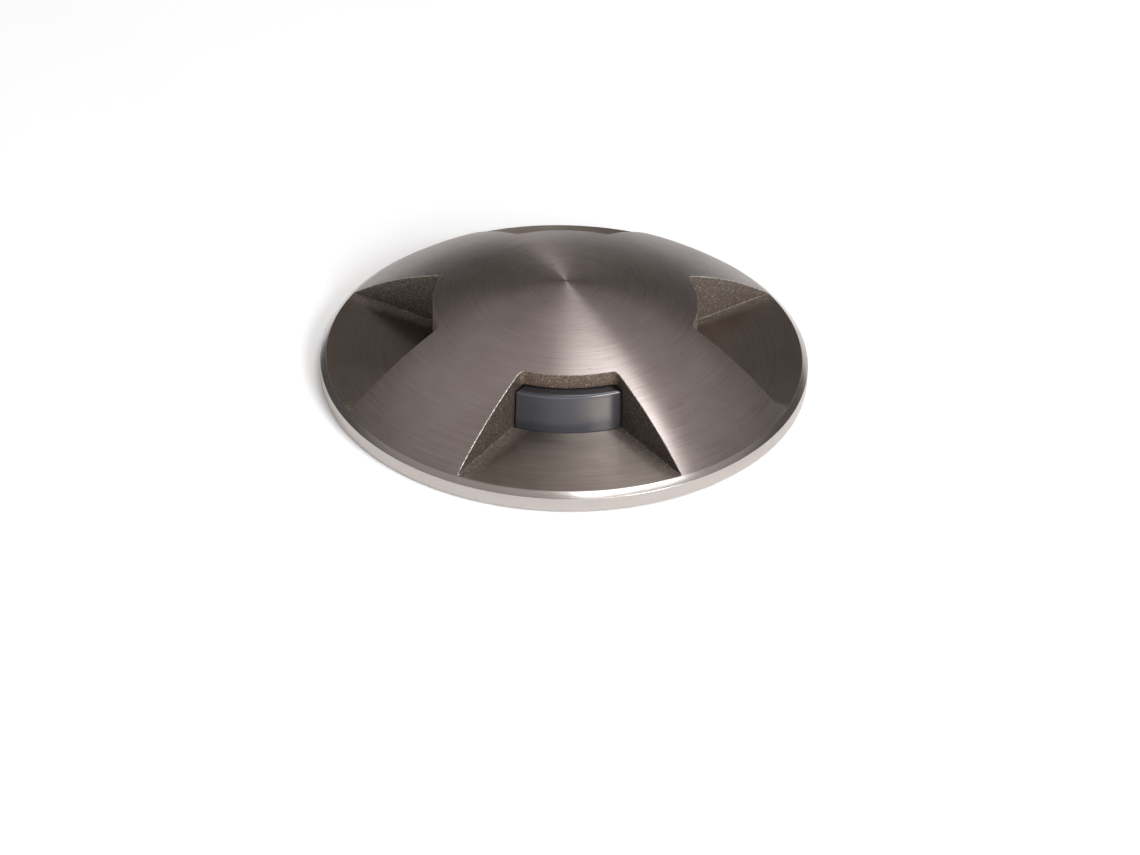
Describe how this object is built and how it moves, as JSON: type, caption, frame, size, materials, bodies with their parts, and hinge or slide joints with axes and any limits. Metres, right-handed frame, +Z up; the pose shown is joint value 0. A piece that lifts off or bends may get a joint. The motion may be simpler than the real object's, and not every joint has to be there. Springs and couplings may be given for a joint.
{
  "type": "recessed ground light",
  "caption": "Drive-over recessed ground light: low brushed steel dome with side windows and smoked lens pads, finned housing and sprung clips in a round ground sleeve.",
  "frame": {"origin": "on the light's axis, in the ground plane on which the cover's rim rests", "axes": "+Z up out of the ground; +X, +Y, -X and -Y each point through the middle of a window, and the picture is taken from -Y"},
  "size_m": [0.105, 0.105, 0.0845],
  "materials": {
    "brushed_steel_cover": "dome brushed in circles, rim brushed along its edge, window walls shot-blasted",
    "smoked_lens": "smoked, satin moulded glass",
    "seal_silicone_red": "matt red silicone",
    "seal_rubber": "matt black rubber",
    "cast_aluminium": "die-cast, light grain",
    "screw_steel": "turned stainless steel",
    "spring_steel": "rolled stainless strip",
    "board_green": "solder resist",
    "board_white": "white solder resist",
    "led_phosphor": "yellow phosphor under clear silicone",
    "ferrite": "matt ferrite",
    "capacitor_can": "drawn can",
    "chip_black": "moulded epoxy",
    "terminal_green": "moulded polyamide",
    "lead_red": "silicone insulation",
    "lead_black": "silicone insulation",
    "gland_plastic": "moulded polyamide",
    "sleeve_plastic": "glass-filled polyamide, light moulded grain"
  },
  "bodies": {
    "sleeve": {"recess_sleeve": "sleeve_plastic", "entry_grommet": "seal_rubber"},
    "lamp": {"cover_dome": "brushed_steel_cover", "lens": "smoked_lens", "lens_seal": "seal_silicone_red", "cover_gasket": "seal_rubber", "housing": "cast_aluminium", "led_post": "cast_aluminium", "post_screw": "screw_steel", "driver_board": "board_green", "driver_coil": "ferrite", "driver_capacitor": "capacitor_can", "driver_chip": "chip_black", "terminal_block": "terminal_green", "led_lead_red": "lead_red", "led_lead_black": "lead_black", "bottom_cap": "cast_aluminium", "cap_seal": "seal_rubber", "gland_body": "gland_plastic", "gland_locknut": "gland_plastic", "gland_seal": "seal_rubber", "gland_nut": "gland_plastic", "cover_screw_1": "screw_steel", "cover_screw_2": "screw_steel", "cover_screw_3": "screw_steel", "cover_screw_4": "screw_steel", "cap_screw_1": "screw_steel", "cap_screw_2": "screw_steel", "cap_screw_3": "screw_steel", "cap_screw_4": "screw_steel", "board_screw_1": "screw_steel", "board_screw_2": "screw_steel", "board_screw_3": "screw_steel", "clip_pin_1": "screw_steel", "clip_pin_2": "screw_steel", "clip_pin_3": "screw_steel", "clip_pin_4": "screw_steel", "led_board_1": "board_white", "led_board_2": "board_white", "led_board_3": "board_white", "led_board_4": "board_white", "led_1": "led_phosphor", "led_2": "led_phosphor", "led_3": "led_phosphor", "led_4": "led_phosphor"},
    "clip_1": {"clip_1": "spring_steel"},
    "clip_2": {"clip_2": "spring_steel"},
    "clip_3": {"clip_3": "spring_steel"},
    "clip_4": {"clip_4": "spring_steel"}
  },
  "joints": [
    {"name": "lamp_lift", "type": "slide", "parent": "sleeve", "child": "lamp", "axis": [0, 0, 1], "range_m": [0, 0.052]},
    {"name": "clip_1_flex", "type": "hinge", "parent": "lamp", "child": "clip_1", "pos_m": [0.0402, 0, -0.0106], "axis": [0, 1, 0], "range_deg": [0, 8], "stiffness_Nm_per_rad": 0.8, "springref_deg": -5.73},
    {"name": "clip_2_flex", "type": "hinge", "parent": "lamp", "child": "clip_2", "pos_m": [0, 0.0402, -0.0106], "axis": [-1, 0, 0], "range_deg": [0, 8], "stiffness_Nm_per_rad": 0.8, "springref_deg": -5.73},
    {"name": "clip_3_flex", "type": "hinge", "parent": "lamp", "child": "clip_3", "pos_m": [-0.0402, 0, -0.0106], "axis": [0, -1, 0], "range_deg": [0, 8], "stiffness_Nm_per_rad": 0.8, "springref_deg": -5.73},
    {"name": "clip_4_flex", "type": "hinge", "parent": "lamp", "child": "clip_4", "pos_m": [0, -0.0402, -0.0106], "axis": [1, 0, 0], "range_deg": [0, 8], "stiffness_Nm_per_rad": 0.8, "springref_deg": -5.73}
  ]
}
